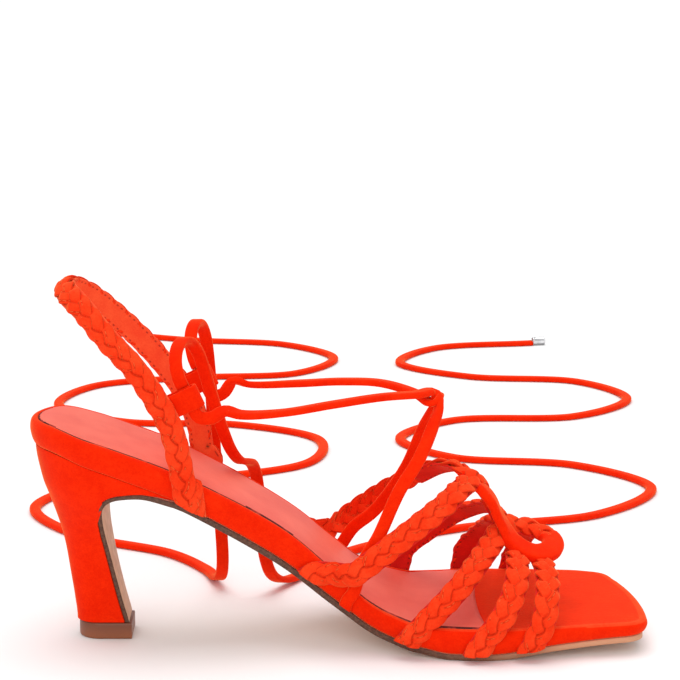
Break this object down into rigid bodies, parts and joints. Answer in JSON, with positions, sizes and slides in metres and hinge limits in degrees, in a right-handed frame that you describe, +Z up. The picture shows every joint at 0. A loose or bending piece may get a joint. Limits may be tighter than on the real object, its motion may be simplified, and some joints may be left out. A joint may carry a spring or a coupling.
{
  "type": "heeled sandal",
  "caption": "Open women's sandal with plaited straps joined at a drop-shaped loop, a plaited slingback, long ties, a square toe and a curved, flared heel.",
  "frame": {"origin": "middle of the underside of the heel tip, on the floor", "axes": "+X towards the toe, +Y towards the outer side of the foot, +Z up"},
  "size_m": [0.3093, 0.6112, 0.1423],
  "materials": {
    "outsole": "smooth tan sheet",
    "suede": "napped suede",
    "braid": "plaited flat suede cord on a lining strip",
    "tie": "folded suede cord with a stitched edge",
    "lining": "smooth fine-grained lining",
    "heel_tip": "smooth brown",
    "tip": "polished"
  },
  "bodies": {
    "root": {"outsole": "outsole", "midsole": "suede", "insole": "lining", "heel": "suede", "heel_tip": "heel_tip", "upper_vamp": "braid", "slingback": "braid", "keeper_medial": "suede", "keeper_lateral": "suede", "instep_tie": "tie", "tie_medial": "tie", "tie_lateral": "tie", "tip_medial": "tip", "tip_lateral": "tip"}
  },
  "joints": []
}
